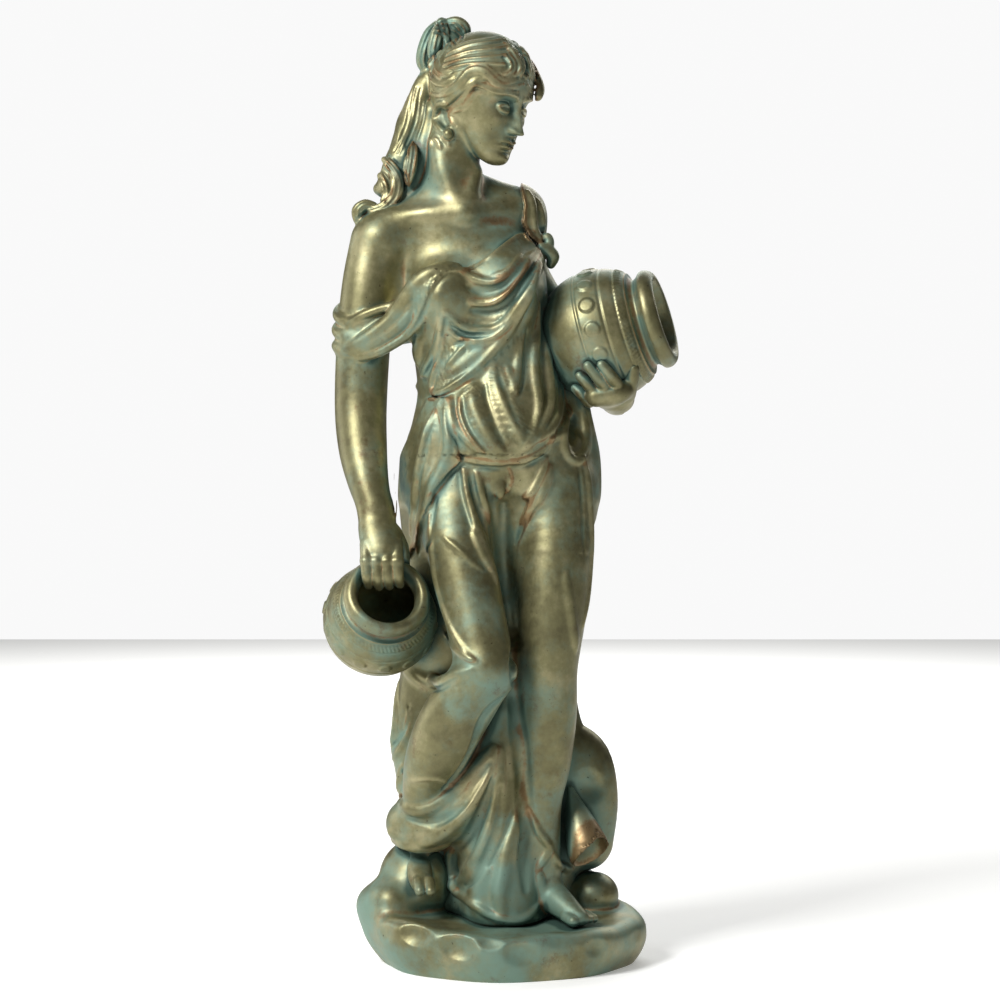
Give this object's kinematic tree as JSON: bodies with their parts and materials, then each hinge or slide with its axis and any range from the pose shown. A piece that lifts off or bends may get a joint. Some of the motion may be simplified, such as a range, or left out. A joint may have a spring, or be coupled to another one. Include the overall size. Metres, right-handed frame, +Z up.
{
  "type": "garden statue",
  "caption": "Standing draped woman on a rocky base, one hollow jug hanging from her right hand and another held on her left hip, cast in one piece.",
  "frame": {"origin": "on the ground, under the centre of the casting's bounding box", "axes": "+Z up along the figure's height; she faces -Y; +X is on her left, the side of the held jug"},
  "size_m": [0.3732, 0.2512, 0.9991],
  "materials": {
    "cast_iron": "bronze-coloured paint rubbed to gold on the raised parts, with green verdigris glaze in the hollows"
  },
  "bodies": {
    "root": {"statue": "cast_iron"}
  },
  "joints": []
}
